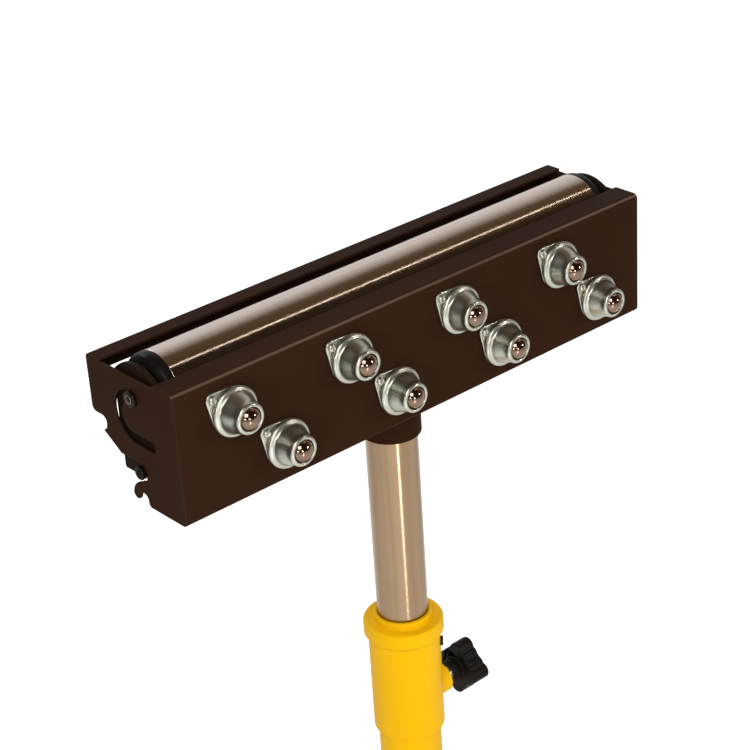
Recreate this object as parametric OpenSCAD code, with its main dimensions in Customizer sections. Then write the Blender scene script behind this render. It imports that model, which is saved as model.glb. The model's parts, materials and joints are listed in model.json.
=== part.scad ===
// Free-standing roller stand with a two-way head: a long roller on one side and
// eight ball transfers on the plate that takes its place when the head is flipped.
// +Z is up, X runs along the roller, and the ball plate faces -Y.
// The origin is on the floor, on the axis of the post.

/* [Head shell] */
// Length of the shell over its end plates
head_len = 400; // [360:5:480]
// Depth of the shell, front plate to rear flange
head_depth = 88; // [86:1:94]
// Height of the shell
head_height = 89; // [88:1:94]
// Thickness of the shell's sheet steel
sheet = 2; // [1.6:0.1:2.4]
// Outer radius of the sheet's bends
bend_r = 3.5; // [2.6:0.1:5]
// Depth of the lip along the top of the front plate
front_lip = 20; // [16:1:20]
// Depth of the return along the bottom of the front plate
bottom_return = 14; // [10:1:18]
// Depth of the lip along the top of the rear rail
rear_lip = 14; // [10:1:16]
// Height of the flange that hangs from the rear rail
rear_flange = 18; // [14:1:20]

/* [Flip slot and catch] */
// Distance from the front plate's face back to the roller axle
axle_back = 42; // [41:0.5:43]
// Height of the axle above the shell's bottom edge
axle_height = 73.5; // [72.5:0.5:74.5]
// Distance from the axle down to the stop bolts
stop_drop = 51; // [49:0.5:52]
// Radius of the arc that the J-slot follows
slot_arc_r = 14.35; // [14.3:0.05:14.6]
// Height of the slot's straight run above the bottom edge
slot_run_height = 45; // [44.8:0.1:45.2]
// Length of the slot's straight run
slot_run = 17.2; // [12:0.2:20]
// Radius of the catch pocket round each stop bolt
pocket_r = 6; // [5.7:0.1:6.5]
// Radius of the hook's throat
throat_r = 4; // [3:0.25:4.5]
// Width of the hook's finger
finger_w = 7.2; // [6:0.2:7.4]
// Radius of the notch that takes the stop bolt when the plate faces up
notch_r = 4.3; // [4:0.1:4.8]
// Radius of the stop bolts
stop_r = 2.5; // [2:0.25:2.5]

/* [Roller] */
// Radius of the roller
roller_r = 24; // [21:0.5:24.5]
// Length of the steel tube
roller_len = 363; // [355:1:365]
// Wall of the steel tube
roller_wall = 2; // [1.5:0.25:3]
// Radius of the roller's axle
axle_r = 6; // [5.5:0.25:6]
// Radius of the axle's threaded ends
end_r = 3; // [2.5:0.25:3]
// Outer radius of the ball bearings
bearing_r = 16; // [15:0.5:17]
// Width of the ball bearings
bearing_w = 10; // [8:0.5:12]

/* [Ball transfers] */
// Ball transfers in each of the two rows
balls_per_row = 4;
// Distance between neighbours in a row
ball_pitch = 92.5; // [80:0.5:94]
// Distance of the upper row's first ball from the shell's left end
ball_start = 41.4; // [38:0.2:44]
// How far the lower row is shifted along from the upper row
ball_stagger = 37.2; // [34:0.2:40]
// Height of the upper row above the bottom edge
upper_row = 64.4; // [63:0.2:65]
// Height of the lower row above the bottom edge
lower_row = 27.2; // [26.5:0.2:28]
// Radius of the balls
ball_r = 7.94; // [7.5:0.01:8.2]
// Height of the housing's nose above the plate
nose_h = 18; // [16.5:0.5:20]
// Radius of the housing's flange
flange_r = 17; // [16:0.25:17.5]
// Angle of the housing's lugs above the row
lug_angle = 140; // [120:5:160]

/* [Cradle and post] */
// Width of the cradle's strap
cradle_w = 46.5; // [40:0.5:47]
// Thickness of the strap
cradle_t = 3; // [2.5:0.25:3.5]
// Height of the cradle's underside above the shell's bottom edge
cradle_base = 14; // [13:0.5:14]
// Height of the ears' crown above the axle
ear_crown = 20.6; // [19:0.2:21]
// Radius of the post
post_r = 18; // [16:0.5:18]
// Wall of the post
post_wall = 1.6; // [1.4:0.1:2.5]
// Length of the post that shows between collar and socket
post_show = 143; // [120:1:200]
// Length of the post inside the base at this height
post_inside = 330; // [300:5:340]
// How far the socket reaches below the shell's bottom edge
socket_drop = 30; // [24:1:36]
// Outer radius of the socket
socket_r = 20.8; // [20.4:0.2:23]

/* [Base] */
// Height of the collar's top above the floor
base_h = 560; // [545:5:620]
// Outer radius of the base tube
base_r = 22.5; // [22.2:0.1:23.5]
// Wall of the base tube
base_wall = 2; // [1.6:0.1:2.2]
// Height of the base tube's lower end above the floor
base_low = 60; // [45:5:70]
// Radius of the collar's flange
collar_r = 28.4; // [28:0.2:32]
// Radius of the collar's body
collar_body_r = 25.5; // [25:0.25:27]
// Length of the collar
collar_len = 96; // [92:1:110]
// Radius of the collar's neck
neck_r = 20.9; // [20.5:0.2:22]
// Height of the collar's neck
neck_h = 5.6; // [4:0.2:8]
// Depth of the clamp screw below the collar's top
clamp_drop = 76; // [66:1:80]
// Radius of the clamp knob
knob_r = 21; // [18:0.5:26]

/* [Legs] */
// Number of legs
leg_count = 4;
// Height of the leg pivots above the floor
pivot_h = 262; // [240:2:290]
// Distance of the leg pivots from the post's axis
pivot_out = 48; // [47:0.5:54]
// Slope of an open leg below level
leg_slope = 44; // [40:1:50]
// Radius of the leg tubes
leg_r = 12.5; // [11:0.5:13]
// Wall of the leg tubes
leg_wall = 1.5; // [1.2:0.1:2.5]
// Radius of the rubber feet
foot_r = 17; // [15:0.5:19]
// Thickness of the leg brackets' sheet
bracket_t = 3; // [2.5:0.25:4]

/* [Hidden] */
$fn = 64;
// Overrun of every cut past the face it opens
over = 1;
// Gap between pieces that are fixed to each other round a curve
fit = 0.05;
// Gap between pieces that turn or slide in each other
play = 0.08;
// Gap between pieces that pass without touching
pass = 0.3;
half = 1 / 2;
turn = 360;

// Places in the head, measured from its front bottom left corner
axle_y = axle_back;
axle_z = axle_height;
stop_z = axle_z - stop_drop;
head_z = base_h + post_show + socket_drop;
collar_top = base_h;

// J-slot: an arc that starts at the axle and ends level, then the straight run
slot_w = 7.9;
slot_r = slot_w / 2;
slot_arc_z = slot_run_height + slot_arc_r;
slot_rise = axle_z - slot_arc_z;
slot_arc_y = axle_y + sqrt(pow(slot_arc_r, 2) - pow(slot_rise, 2));
slot_arc_start = atan2(slot_rise, axle_y - slot_arc_y);
slot_end_y = slot_arc_y - slot_run;
// Angle by which the arc runs past the middle of its round end
slot_lap = 3;

// Catch side of the end plates
throat_z = 3.8;
finger_r = throat_r + finger_w;
pocket_top = stop_z + pocket_r;
ramp_foot_share = 0.7;
ramp_foot_y = head_depth * ramp_foot_share;
notch_y = slot_end_y + stop_drop;
notch_z = slot_run_height;
lip_root_shares = [0.9, 0.8];
tip_share = 1.45;
tip_z = notch_z - notch_r * tip_share;
rear_edge_low = notch_z + notch_r;
rear_corner_r = 4;
toe_r = 3;
throat_side = 1.2;

// Ear and cradle
ear_gap = 2;
ear_x = sheet + ear_gap;
ear_inner = ear_x + cradle_t;
crown_r = 30;
ear_fillet = 5;
cradle_bend = 3.6;

// Roller ends
roller_x = (head_len - roller_len) / 2;
cap_out = 8;
cap_face = roller_x - cap_out;
cap_chamfer = 1.5;
cap_plug = 14;
cap_shoulder = 2.5;
cap_web_r = bearing_r - cap_shoulder;
bearing_out = 1;
bearing_x = cap_face - bearing_out;
race_t = 3.4;
bead_r = 2.95;
bead_count = 8;
spacer_r = 9;

// Corner radius of a hexagon of the given width across its flats
function hex_r(across) = across / 2 / cos(turn / 12);

// Thin nuts on the axle's ends, and smaller ones on the stop bolts
nut_af = 10;
nut_r = hex_r(nut_af);
nut_t = 2.4;
thread_out = 0.4;
stop_nut_af = 8;
stop_nut_r = hex_r(stop_nut_af);
stop_nut_t = 1.8;
stop_head_t = 3;
bush_flange_r = 7;
bush_flange_t = 1.2;
bush_r = slot_r - play / 2;
sleeve_r = 4.4;

// Ball transfer housings
lug_out = 19;
lug_r = 5;
lug_t = 2;
rim_t = 3.6;
rim_round = 1.6;
bowl_low_r = 14.8;
bowl_high_r = 13.6;
bowl_h = 9;
nose_low_r = 12.2;
nose_r = 11.3;
nose_low_h = 10.6;
nose_round = 2.4;
mouth_share = 0.91;
mouth_r = ball_r * mouth_share;
ball_gap = 0.06;
ball_h = nose_h - sqrt(pow(ball_r + ball_gap, 2) - pow(mouth_r, 2));
screw_r = 1.9;
screw_head_r = 3.3;
screw_head_t = 1.6;
small_nut_af = 7;
small_nut_r = hex_r(small_nut_af);
small_nut_t = 3;

// Post, socket and glide
cradle_low = head_z + cradle_base;
post_top = cradle_low;
post_low = collar_top - post_inside;
glide_r = base_r - base_wall - play;
glide_t = 12;
spigot_h = 20;
spigot_wall = 4;
socket_len = cradle_base + socket_drop;
set_screw_r = 4;
set_screw_len = 6;

// Collar and guide bush
collar_low = collar_top - collar_len;
flange_top = collar_top - neck_h;
flange_t = 10.5;
flange_taper = 3;
edge_round = 2;
bush_rim_t = 3;
clamp_z = collar_top - clamp_drop;
boss_r = 11;
boss_out = 34;
stud_r = 5;
pad_r = 4;
pad_t = 3;
stud_tip = post_r + pass + pad_t;
stud_len = 36;
stud_in_knob = 16;
knob_x = stud_tip + stud_len - stud_in_knob;
knob_t = 14;
knob_hub_r = 9;
knob_hub_t = 6;
knob_lobes = 4;
lobe_r = 6;
collar_screw_drop = 28;
collar_screw_head_r = 3.6;
collar_screw_head_t = 1.8;

// Legs, brackets and feet
hub_wall = 3.5;
hub_r = base_r + hub_wall;
hub_len = 64;
hub_below = 36;
hub_low = pivot_h - hub_below;
side_in = leg_r + pass;
side_out = side_in + bracket_t;
eye_r = 15;
leg_top = 12;
foot_centre = 14;
leg_len = (pivot_h - foot_centre) / sin(leg_slope);
boot_len = 46;
boot_wall = 2.6;
boot_top_r = leg_r + boot_wall;
boot_floor = 5;
boot_rings = 3;
boot_ring_r = 1;
boot_ring_step = 3 * boot_ring_r;
web_start = 5;
web_len = 22;
web_side = side_in + bracket_t / 2;
pivot_r = 4;
pivot_head_t = 5;
pivot_head_af = 13;
pivot_head_r = hex_r(pivot_head_af);
pivot_out_len = 1.6;
plug_t = 3;
plug_in = 12;

// Shared shapes
module round_rect(w, h, r) {
    translate([r, 0]) square([w - 2 * r, h]);
    translate([0, r]) square([w, h - 2 * r]);
    for (y = [r, w - r], z = [r, h - r]) translate([y, z]) circle(r);
}

// Turns a shape drawn in Y and Z into a slab along X
module slab_x(t) {
    rotate([90, 0, 90]) linear_extrude(t) children();
}

// Turns a shape drawn in X and Z into a slab along Y, centred on Y = 0
module slab_y(t) {
    rotate([90, 0, 0]) linear_extrude(t, center = true) children();
}

// A rod along X from x
module rod_x(r, x, len) {
    translate([x, 0, 0]) rotate([0, 90, 0]) cylinder(r = r, h = len);
}

module tube_x(r_out, r_in, x, len) {
    difference() {
        rod_x(r_out, x, len);
        rod_x(r_in, x - over, len + 2 * over);
    }
}

module hex_x(r, x, len) {
    translate([x, 0, 0]) rotate([0, 90, 0]) cylinder(r = r, h = len, $fn = 6);
}

module tube_z(r_out, r_in, len) {
    difference() {
        cylinder(r = r_out, h = len);
        translate([0, 0, -over]) cylinder(r = r_in, h = len + 2 * over);
    }
}

// Head frame: X from the left end, Y from the front face, Z from the bottom edge
module head() {
    translate([-head_len / 2, -axle_back, head_z]) children();
}

// The same shape at both ends of the head
module both_ends() {
    children();
    translate([head_len, 0, 0]) mirror([1, 0, 0]) children();
}

module at_axle() {
    translate([0, axle_y, axle_z]) children();
}

module at_stop() {
    translate([0, axle_y, stop_z]) children();
}

// Shell
module folded_edge() {
    difference() {
        round_rect(2 * head_depth, head_height, bend_r);
        translate([sheet, sheet])
            round_rect(2 * head_depth - 2 * sheet, head_height - 2 * sheet, bend_r - sheet);
    }
}

module front_profile() {
    intersection() {
        folded_edge();
        union() {
            square([bottom_return, head_height / 2]);
            translate([0, head_height / 2]) square([front_lip, head_height / 2]);
        }
    }
}

module rear_profile() {
    intersection() {
        translate([head_depth, 0]) mirror([1, 0]) folded_edge();
        translate([head_depth - rear_lip, head_height - rear_flange])
            square([rear_lip, rear_flange]);
    }
}

// The J-slot that the bush on the axle's end runs in
module j_slot() {
    reach = slot_arc_r + slot_w;
    start = slot_arc_start + slot_lap;
    translate([slot_arc_y, slot_arc_z]) {
        intersection() {
            difference() {
                circle(slot_arc_r + slot_r);
                circle(slot_arc_r - slot_r);
            }
            union() {
                translate([0, -reach]) square([reach, 2 * reach]);
                polygon([
                    [0, 0], [0, reach],
                    [reach * cos(start), reach * sin(start)]
                ]);
            }
        }
    }
    translate([axle_y, axle_z]) circle(slot_r);
    translate([slot_end_y, slot_run_height]) circle(slot_r);
    translate([slot_end_y, slot_run_height - slot_r]) square([slot_run, slot_w]);
}

// The hook that parks the head while it is being turned
module hook() {
    translate([axle_y, throat_z]) {
        intersection() {
            circle(finger_r);
            translate([0, throat_side]) square([finger_r, finger_r]);
        }
        translate([throat_r + finger_w / 2, throat_side]) circle(finger_w / 2);
    }
}

module end_outline() {
    difference() {
        union() {
            polygon([
                [0, 0],
                [axle_y, 0],
                [axle_y, pocket_top],
                [ramp_foot_y, pocket_top],
                [notch_y, tip_z],
                [notch_y - notch_r * lip_root_shares[0], notch_z - notch_r * lip_root_shares[1]],
                [notch_y, notch_z],
                [notch_y, rear_edge_low],
                [head_depth - rear_corner_r, rear_edge_low],
                [head_depth, rear_edge_low + rear_corner_r],
                [head_depth, head_height - sheet],
                [0, head_height - sheet]
            ]);
            translate([head_depth - rear_corner_r, rear_edge_low + rear_corner_r])
                circle(rear_corner_r);
            hook();
        }
        translate([axle_y, throat_z]) circle(throat_r);
        translate([axle_y - throat_r, -over]) square([2 * throat_r, throat_z + over]);
        translate([axle_y - throat_r, 0]) toe_cut();
        translate([axle_y, stop_z]) circle(pocket_r);
        translate([notch_y, notch_z]) circle(notch_r);
        j_slot();
    }
}

// Rounds the corner between the bottom edge and the throat
module toe_cut() {
    difference() {
        translate([-toe_r, -over]) square([toe_r + over, toe_r + over]);
        translate([-toe_r, toe_r]) circle(toe_r);
    }
}

module end_plate() {
    slab_x(sheet) difference() {
        intersection() {
            round_rect(head_depth, head_height, bend_r);
            end_outline();
        }
        front_profile();
        rear_profile();
    }
}

module left_end_plate() {
    color("#38251a") head() end_plate();
}

module right_end_plate() {
    color("#38251a") head() translate([head_len, 0, 0]) mirror([1, 0, 0]) end_plate();
}

// Places of the ball transfers: along the plate and up it
function ball_x(i) = ball_start + floor(i / 2) * ball_pitch + (i % 2) * ball_stagger;
function ball_z(i) = i % 2 == 0 ? upper_row : lower_row;
ball_total = 2 * balls_per_row;

// Puts a shape on the front plate, with its own Z pointing out of the plate
module at_ball(i) {
    head() translate([ball_x(i), 0, ball_z(i)]) rotate([90, 0, 0]) children();
}

// Both lugs of a housing
module at_lugs() {
    for (side = [0, turn / 2]) rotate(lug_angle + side) translate([lug_out, 0]) children();
}

module front_plate() {
    color("#38251a") difference() {
        head() slab_x(head_len) front_profile();
        for (i = [0 : ball_total - 1])
            at_ball(i) at_lugs() translate([0, 0, -sheet - over])
                cylinder(r = screw_r + fit, h = sheet + 2 * over);
    }
}

module rear_rail() {
    color("#38251a") head() slab_x(head_len) rear_profile();
}

// Ball transfers
module lug_plate() {
    tangent = acos((flange_r - lug_r) / lug_out);
    circle(flange_r);
    for (side = [0, turn / 2]) rotate(lug_angle + side) {
        translate([lug_out, 0]) circle(lug_r);
        polygon([
            [0, 0],
            flange_r * [cos(tangent), sin(tangent)],
            [lug_out, 0] + lug_r * [cos(tangent), sin(tangent)],
            [lug_out, 0] + lug_r * [cos(tangent), -sin(tangent)],
            flange_r * [cos(tangent), -sin(tangent)]
        ]);
    }
}

module housing_profile() {
    square([flange_r, rim_t - rim_round]);
    square([flange_r - rim_round, rim_t]);
    translate([flange_r - rim_round, rim_t - rim_round]) circle(rim_round);
    polygon([
        [0, 0],
        [bowl_low_r, 0],
        [bowl_low_r, rim_t],
        [bowl_high_r, bowl_h],
        [nose_low_r, nose_low_h],
        [nose_r, nose_low_h + rim_round],
        [nose_r, nose_h - nose_round],
        [nose_r - nose_round, nose_h],
        [0, nose_h]
    ]);
    translate([nose_r - nose_round, nose_h - nose_round]) circle(nose_round);
}

module ball_housing(i) {
    color("#8a9186") at_ball(i) difference() {
        union() {
            linear_extrude(lug_t) lug_plate();
            rotate_extrude() intersection() {
                housing_profile();
                square([flange_r, nose_h]);
            }
        }
        translate([0, 0, ball_h]) sphere(ball_r + ball_gap);
        at_lugs() translate([0, 0, -over]) cylinder(r = screw_r + fit, h = lug_t + 2 * over);
        at_lugs() translate([0, 0, lug_t]) cylinder(r = screw_head_r + fit, h = rim_t);
    }
}

module ball(i) {
    color("#c8c4bc") at_ball(i) translate([0, 0, ball_h]) sphere(ball_r);
}

module housing_screws() {
    color("#b9bdb4") for (i = [0 : ball_total - 1]) at_ball(i) at_lugs() {
        translate([0, 0, -sheet - small_nut_t]) cylinder(r = screw_r, h = lug_t + sheet + small_nut_t);
        translate([0, 0, lug_t]) cylinder(r = screw_head_r, h = screw_head_t);
    }
}

module housing_nuts() {
    color("#b9bdb4") for (i = [0 : ball_total - 1]) at_ball(i) at_lugs()
        translate([0, 0, -sheet - small_nut_t]) difference() {
            cylinder(r = small_nut_r, h = small_nut_t, $fn = 6);
            translate([0, 0, -over]) cylinder(r = screw_r + fit, h = small_nut_t + 2 * over);
        }
}

// Cradle: a strap bent up at both ends into ears with crowned tops
module ear_outline() {
    side = cradle_w / 2;
    crown_z = axle_z + ear_crown - crown_r;
    fillet_y = side - ear_fillet;
    fillet_rise = sqrt(pow(crown_r - ear_fillet, 2) - pow(fillet_y, 2));
    tangent = atan2(fillet_rise, fillet_y);
    translate([axle_y, 0]) {
        translate([-side, cradle_base]) square([cradle_w, crown_z + fillet_rise - cradle_base]);
        for (s = [-1, 1]) translate([s * fillet_y, crown_z + fillet_rise]) circle(ear_fillet);
        translate([0, crown_z]) intersection() {
            circle(crown_r);
            polygon([
                [0, 0],
                2 * crown_r * [cos(tangent), sin(tangent)],
                2 * crown_r * [-cos(tangent), sin(tangent)]
            ]);
        }
    }
}

module strap_profile() {
    span = head_len - 2 * ear_x;
    rise = 2 * head_height;
    translate([ear_x, cradle_base]) difference() {
        round_rect(span, rise, cradle_bend);
        translate([cradle_t, cradle_t])
            round_rect(span - 2 * cradle_t, rise, cradle_bend - cradle_t);
    }
}

module cradle() {
    color("#2e201a") head() difference() {
        intersection() {
            translate([0, axle_y, 0]) slab_y(cradle_w) strap_profile();
            slab_x(head_len) ear_outline();
        }
        at_axle() rod_x(end_r + fit, 0, head_len);
        at_stop() rod_x(stop_r + fit, 0, head_len);
    }
}

module head_socket() {
    color("#2e201a") difference() {
        translate([0, 0, head_z - socket_drop])
            tube_z(socket_r, post_r + fit, socket_len);
        translate([0, 0, head_z - socket_drop / 2]) rotate([0, 0, turn / 4])
            rod_x(set_screw_r + fit, 0, socket_r + over);
    }
}

module socket_screw() {
    color("#222222") translate([0, 0, head_z - socket_drop / 2]) rotate([0, 0, turn / 4])
        difference() {
            rod_x(set_screw_r, post_r + fit, set_screw_len);
            hex_x(set_screw_r / 2, post_r + set_screw_len / 2, set_screw_len);
        }
}

module post_tube() {
    color("#b09a82") translate([0, 0, post_low])
        tube_z(post_r, post_r - post_wall, post_top - post_low);
}

module post_glide() {
    color("#e8e4d8") translate([0, 0, post_low - glide_t]) difference() {
        union() {
            cylinder(r = glide_r, h = glide_t);
            cylinder(r = post_r - post_wall - play, h = glide_t + spigot_h);
        }
        translate([0, 0, glide_t])
            cylinder(r = post_r - post_wall - spigot_wall, h = spigot_h + over);
    }
}

// Roller, its axle and its bearings
module roller_tube() {
    color("#b9ab98") head() at_axle()
        tube_x(roller_r, roller_r - roller_wall, roller_x, roller_len);
}

module cap_profile() {
    inner = roller_r - roller_wall - fit;
    flange = roller_x - cap_face;
    difference() {
        union() {
            square([roller_r - cap_chamfer, flange]);
            translate([0, cap_chamfer]) square([roller_r, flange - cap_chamfer]);
            translate([roller_r - cap_chamfer, cap_chamfer]) circle(cap_chamfer);
            square([inner, flange + cap_plug]);
        }
        translate([0, -over]) square([bearing_r + fit, bearing_x - cap_face + bearing_w + over]);
        square([cap_web_r, flange + cap_plug + over]);
    }
}

module roller_cap() {
    at_axle() translate([cap_face, 0, 0]) rotate([0, 90, 0]) rotate_extrude() cap_profile();
}

module roller_cap_left() {
    color("#1a1614") head() roller_cap();
}

module roller_cap_right() {
    color("#1a1614") head() translate([head_len, 0, 0]) mirror([1, 0, 0]) roller_cap();
}

// The groove that the beads run in, midway between the two rings
race_r = (axle_r + bearing_r) / 2;

module race_groove() {
    translate([race_r, bearing_w / 2]) circle(bead_r + play / 2);
}

module ring_profile(r_in, r_out) {
    difference() {
        translate([r_in, 0]) square([r_out - r_in, bearing_w]);
        race_groove();
    }
}

module bearing_ring(r_in, r_out) {
    at_axle() translate([bearing_x, 0, 0]) rotate([0, 90, 0])
        rotate_extrude() ring_profile(r_in, r_out);
}

module bearing_outer_rings() {
    color("#c9c9c4") head() both_ends() bearing_ring(bearing_r - race_t, bearing_r);
}

module bearing_inner_rings() {
    color("#c9c9c4") head() both_ends() bearing_ring(axle_r + fit, axle_r + race_t);
}

module bearing_beads() {
    color("#d9d9d4") head() both_ends() at_axle() for (i = [0 : bead_count - 1])
        rotate([turn * i / bead_count, 0, 0])
            translate([bearing_x + bearing_w / 2, 0, race_r]) sphere(bead_r);
}

module roller_axle() {
    end_x = -nut_t - thread_out - pass;
    color("#8c8880") head() at_axle() {
        rod_x(axle_r, ear_inner, head_len - 2 * ear_inner);
        rod_x(end_r, end_x, head_len - 2 * end_x);
    }
}

module axle_spacers() {
    color("#8c8880") head() both_ends() at_axle()
        tube_x(spacer_r, axle_r + fit, ear_inner, bearing_x - ear_inner);
}

module slot_bushes() {
    color("#e8e4d8") head() both_ends() at_axle() difference() {
        union() {
            rod_x(bush_r, 0, sheet + bush_flange_t);
            rod_x(bush_flange_r, sheet + play, bush_flange_t);
        }
        rod_x(end_r + play / 2, -over, ear_x + over);
    }
}

// A nut just outside the end plate
module end_nut(r, bore, t) {
    difference() {
        hex_x(r, -pass - t, t);
        rod_x(bore + fit, -pass - t - over, t + 2 * over);
    }
}

module axle_nuts() {
    color("#3a342e") head() both_ends() at_axle() end_nut(nut_r, end_r, nut_t);
}

module stop_bolts() {
    tip_x = -pass - stop_nut_t - thread_out;
    color("#3a342e") head() both_ends() at_stop() {
        rod_x(stop_r, tip_x, ear_inner - tip_x);
        hex_x(stop_nut_r, ear_inner, stop_head_t);
    }
}

module stop_sleeves() {
    color("#3a342e") head() both_ends() at_stop()
        tube_x(sleeve_r, stop_r + fit, -pass, ear_x + pass);
}

module stop_nuts() {
    color("#3a342e") head() both_ends() at_stop() end_nut(stop_nut_r, stop_r, stop_nut_t);
}

// Base tube, bush and collar
tube_top = flange_top - edge_round - bush_rim_t;

module clamp_hole(r, out) {
    translate([0, 0, clamp_z]) rod_x(r, 0, out);
}

module base_tube() {
    color("#d9a514") difference() {
        translate([0, 0, base_low]) tube_z(base_r, base_r - base_wall, tube_top - base_low);
        clamp_hole(stud_r + pass, base_r + over);
        at_collar_screws() rod_x(screw_r + fit, base_r - base_wall - over, base_wall + 2 * over);
    }
}

module tube_plug() {
    color("#1a1614") translate([0, 0, base_low]) {
        translate([0, 0, -plug_t]) cylinder(r = base_r, h = plug_t);
        tube_z(base_r - base_wall - fit, base_r - 2 * base_wall, plug_in);
    }
}

module guide_bush() {
    color("#e8e4d8") difference() {
        union() {
            translate([0, 0, tube_top]) tube_z(base_r, post_r + play, bush_rim_t);
            translate([0, 0, collar_low]) tube_z(
                base_r - base_wall - fit, post_r + play, tube_top - collar_low + fit
            );
        }
        clamp_hole(stud_r + pass, base_r + over);
    }
}

module collar_profile() {
    flange_low = flange_top - flange_t;
    translate([0, collar_low]) square([collar_body_r, flange_low - collar_low]);
    polygon([
        [0, flange_low - flange_taper],
        [collar_body_r, flange_low - flange_taper],
        [collar_r, flange_low],
        [0, flange_low]
    ]);
    translate([0, flange_low]) square([collar_r, flange_t - edge_round]);
    translate([0, flange_low]) square([collar_r - edge_round, flange_t]);
    translate([collar_r - edge_round, flange_top - edge_round]) circle(edge_round);
    translate([0, flange_low]) square([neck_r, flange_t + neck_h - edge_round / 2]);
    translate([0, flange_low])
        square([neck_r - edge_round / 2, flange_t + neck_h]);
    translate([neck_r - edge_round / 2, collar_top - edge_round / 2]) circle(edge_round / 2);
}

// The screws stand to both sides of the clamp screw
module at_collar_screws() {
    for (side = [turn / 8, -turn / 8])
        translate([0, 0, collar_top - collar_screw_drop]) rotate([0, 0, side]) children();
}

module clamp_collar() {
    bore_r = base_r + fit;
    color("#e0a80c") difference() {
        union() {
            rotate_extrude() collar_profile();
            translate([0, 0, clamp_z]) rod_x(boss_r, 0, boss_out);
        }
        translate([0, 0, collar_low - over]) cylinder(
            r = bore_r, h = tube_top + bush_rim_t - collar_low + over
        );
        translate([0, 0, collar_low]) cylinder(r = post_r + pass, h = collar_len + over);
        clamp_hole(stud_r + play, boss_out + over);
        at_collar_screws() rod_x(screw_r + fit, bore_r - over, collar_r);
    }
}

module collar_screws() {
    color("#b9bdb4") at_collar_screws() {
        rod_x(screw_r, base_r - base_wall, collar_body_r - base_r + base_wall);
        rod_x(collar_screw_head_r, collar_body_r, collar_screw_head_t);
    }
}

// Clamp screw with its swivelling pad
pad_pin_r = 2;
pad_pin_len = 4;

module clamp_pad() {
    color("#c9a14a") translate([0, 0, clamp_z]) {
        rod_x(pad_r, post_r + pass, pad_t);
        rod_x(pad_pin_r, post_r + pass, pad_t + pad_pin_len);
    }
}

module clamp_stud() {
    color("#b9bdb4") translate([0, 0, clamp_z]) difference() {
        rod_x(stud_r, stud_tip, stud_len);
        rod_x(pad_pin_r + play, stud_tip - over, pad_pin_len + play + over);
    }
}

module clamp_knob() {
    color("#1a1614") translate([0, 0, clamp_z]) difference() {
        union() {
            rod_x(knob_hub_r, knob_x, knob_hub_t);
            translate([knob_x + knob_hub_t, 0, 0]) rotate([0, 90, 0])
                linear_extrude(knob_t) knob_outline();
        }
        rod_x(stud_r + fit, knob_x - over, stud_in_knob + over);
    }
}

// Four round lobes joined by hollows
module knob_outline() {
    lobe_out = knob_r - lobe_r;
    step = turn / knob_lobes;
    difference() {
        union() {
            circle(lobe_out * cos(step / 2) + lobe_r);
            for (i = [0 : knob_lobes - 1]) rotate(i * step) translate([lobe_out, 0]) circle(lobe_r);
        }
        for (i = [0 : knob_lobes - 1]) rotate((i + half) * step)
            translate([knob_r + lobe_r / 2, 0]) circle(lobe_r + lobe_r / 2);
    }
}

// Legs
// Puts a shape at leg i, with X out from the post and its origin on the pivot
module at_leg(i) {
    rotate([0, 0, turn / leg_count * (i - half)]) translate([pivot_out, 0, pivot_h]) children();
}

// The same, turned so that X runs down the open leg
module down_leg(i) {
    at_leg(i) rotate([0, leg_slope, 0]) children();
}

module bracket_side() {
    circle(eye_r);
    translate([-pivot_out, -eye_r]) square([pivot_out, 2 * eye_r]);
    rotate(-leg_slope) square([web_start + web_len, side_out]);
}

module leg_bracket(i) {
    at_leg(i) difference() {
        for (y = [side_in + bracket_t / 2, -side_in - bracket_t / 2])
            translate([0, y, 0]) slab_y(bracket_t) bracket_side();
        translate([-pivot_out, 0, -over - pivot_h]) cylinder(r = hub_r + fit, h = 2 * pivot_h);
        rotate([90, 0, 0]) cylinder(r = pivot_r + fit, h = 2 * side_out + 2 * over, center = true);
    }
    down_leg(i) translate([web_start, -web_side, side_in])
        cube([web_len, 2 * web_side, bracket_t]);
}

module leg_brackets() {
    color("#d9a514") for (i = [1 : leg_count]) leg_bracket(i);
}

module leg_hub() {
    color("#d9a514") translate([0, 0, hub_low]) tube_z(hub_r, base_r + fit, hub_len);
}

module leg_bolts() {
    tip_x = -side_out - pivot_head_t - pivot_out_len;
    color("#b9bdb4") for (i = [1 : leg_count]) at_leg(i) rotate([0, 0, -turn / 4]) {
        rod_x(pivot_r, tip_x, side_out - tip_x);
        hex_x(pivot_head_r, side_out, pivot_head_t);
    }
}

module leg_nuts() {
    color("#b9bdb4") for (i = [1 : leg_count]) at_leg(i) rotate([0, 0, -turn / 4]) difference() {
        hex_x(pivot_head_r, -side_out - pivot_head_t, pivot_head_t);
        rod_x(pivot_r + fit, -side_out - pivot_head_t - over, pivot_head_t + 2 * over);
    }
}

module leg_tube(i) {
    color("#d9a514") down_leg(i) difference() {
        rod_x(leg_r, -leg_top, leg_top + leg_len - boot_floor);
        rod_x(leg_r - leg_wall, -leg_top - over, leg_top + leg_len + 2 * over);
        rotate([90, 0, 0]) cylinder(r = pivot_r + play, h = 2 * leg_r + 2 * over, center = true);
    }
}

module boot_profile() {
    difference() {
        union() {
            polygon([
                [0, 0],
                [foot_r, 0],
                [boot_top_r, boot_len],
                [0, boot_len]
            ]);
            intersection() {
                circle(foot_r);
                translate([0, -foot_r]) square([foot_r, foot_r]);
            }
            for (i = [1 : boot_rings])
                translate([boot_top_r, boot_len - i * boot_ring_step]) circle(boot_ring_r);
        }
        translate([0, boot_floor]) square([leg_r + fit, boot_len]);
    }
}

module leg_foot(i) {
    color("#1a1614") intersection() {
        down_leg(i) translate([leg_len, 0, 0]) rotate([0, -turn / 4, 0])
            rotate_extrude() boot_profile();
        cylinder(r = head_len, h = pivot_h);
    }
}

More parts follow.
